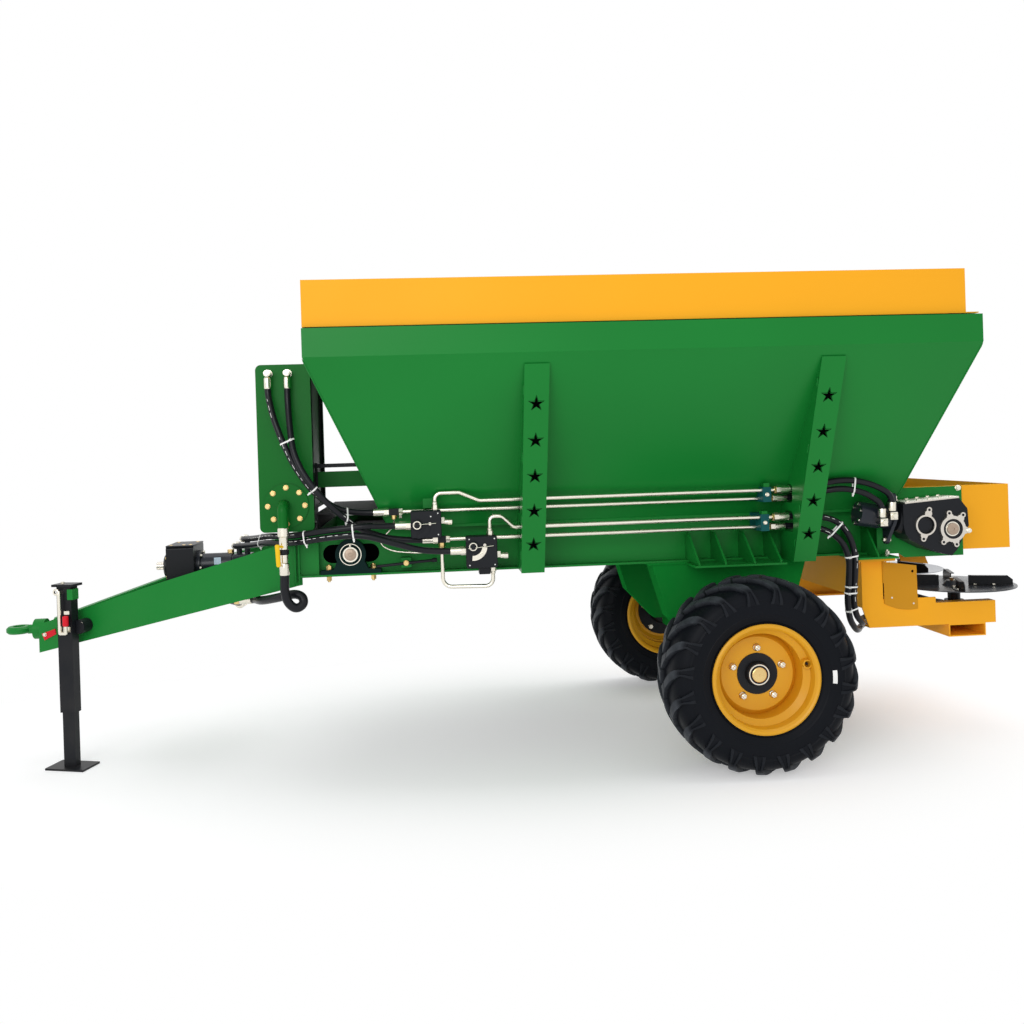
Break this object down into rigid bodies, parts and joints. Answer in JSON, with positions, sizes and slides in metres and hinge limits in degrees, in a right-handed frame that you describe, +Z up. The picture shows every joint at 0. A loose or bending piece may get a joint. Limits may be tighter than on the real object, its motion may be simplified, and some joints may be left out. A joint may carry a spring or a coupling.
{
  "type": "manure spreader",
  "caption": "Towed belt-floor spreader: sloping green hopper with yellow boards on a channel frame, tapered drawbar with jack, hydraulic drive, two spinning discs behind.",
  "frame": {"origin": "on the ground under the middle of the overall length and width", "axes": "+X rearward along the machine, +Y to its right-hand side, +Z up"},
  "size_m": [4.44, 1.896, 1.9085],
  "materials": {
    "green_paint": "glossy mid green",
    "yellow_paint": "glossy golden yellow",
    "rim_paint": "satin ochre",
    "black_paint": "satin black",
    "tyre_rubber": "matt black",
    "belt_rubber": "matt black",
    "hose_rubber": "satin black",
    "bare_steel": "brushed",
    "zinc_steel": "bright zinc",
    "stainless": "brushed",
    "disc_paint": "worn dark paint",
    "red_paint": "glossy red",
    "clamp_plastic": "dark teal"
  },
  "bodies": {
    "machine": {"axle": "green_paint", "bearing_housings": "black_paint", "chassis_beams": "green_paint", "conveyor_bed": "green_paint", "conveyor_belt": "belt_rubber", "conveyor_gearbox": "black_paint", "conveyor_motor": "black_paint", "conveyor_rollers": "bare_steel", "discharge_hood": "yellow_paint", "drawbar_crosspieces": "green_paint", "drawbar_left": "green_paint", "drawbar_right": "green_paint", "flow_valves": "black_paint", "front_guard": "belt_rubber", "gearbox_rings": "bare_steel", "guide_plates": "yellow_paint", "hopper_extension": "yellow_paint", "hopper_front": "green_paint", "hopper_rear": "green_paint", "hopper_rim": "green_paint", "hopper_side_left": "green_paint", "hopper_side_right": "green_paint", "hose_fittings": "zinc_steel", "hoses_front": "hose_rubber", "hoses_rear": "hose_rubber", "hydraulic_pump": "black_paint", "nose_tab": "red_paint", "oil_cooler": "black_paint", "oil_tank": "green_paint", "outrigger_brackets": "green_paint", "pipe_clamps": "clamp_plastic", "pipe_tees": "black_paint", "pressure_pipes": "zinc_steel", "pto_gearbox": "black_paint", "rear_plates": "green_paint", "rim_gasket": "belt_rubber", "spinner_frame": "yellow_paint", "spinner_motors": "black_paint", "star_posts": "green_paint", "suction_line": "hose_rubber", "tow_eye": "green_paint", "valve_brackets": "green_paint"},
    "wheel_left": {"tyre_left": "tyre_rubber", "wheel_rim_left": "rim_paint", "wheel_hub_left": "black_paint"},
    "wheel_right": {"tyre_right": "tyre_rubber", "wheel_rim_right": "rim_paint", "wheel_hub_right": "black_paint"},
    "spinner_left": {"spinner_left": "disc_paint", "spinner_vanes_left": "black_paint"},
    "spinner_right": {"spinner_right": "stainless", "spinner_vanes_right": "black_paint"},
    "pto_input": {"pto_shaft": "bare_steel"},
    "jack": {"jack_post": "black_paint", "jack_crank": "zinc_steel", "crank_grip": "red_paint", "jack_block": "green_paint"},
    "jack_leg": {"jack_leg": "black_paint"},
    "gate": {"metering_gate": "green_paint"}
  },
  "joints": [
    {"name": "wheel_left_spin", "type": "hinge", "parent": "machine", "child": "wheel_left", "pos_m": [0.9, -0.725, 0.38], "axis": [0, 1, 0], "continuous": true},
    {"name": "wheel_right_spin", "type": "hinge", "parent": "machine", "child": "wheel_right", "pos_m": [0.9, 0.725, 0.38], "axis": [0, 1, 0], "continuous": true},
    {"name": "spinner_left_spin", "type": "hinge", "parent": "machine", "child": "spinner_left", "pos_m": [1.97, -0.29, 0.611], "axis": [0, 0, 1], "continuous": true},
    {"name": "spinner_right_spin", "type": "hinge", "parent": "machine", "child": "spinner_right", "pos_m": [1.97, 0.29, 0.611], "axis": [0, 0, 1], "continuous": true},
    {"name": "pto_spin", "type": "hinge", "parent": "machine", "child": "pto_input", "pos_m": [-1.565, 0, 0.811], "axis": [1, 0, 0], "continuous": true},
    {"name": "jack_swivel", "type": "hinge", "parent": "machine", "child": "jack", "pos_m": [-1.8239, -0.15784, 0.59], "axis": [-0.2873, -0.9578, 0], "range_deg": [0, 90]},
    {"name": "jack_extend", "type": "slide", "parent": "jack", "child": "jack_leg", "axis": [0, 0, 1], "range_m": [0, 0.2]},
    {"name": "gate_slide", "type": "slide", "parent": "machine", "child": "gate", "axis": [0.1867, 0, 0.9824], "range_m": [-0.09, 0.11]}
  ]
}
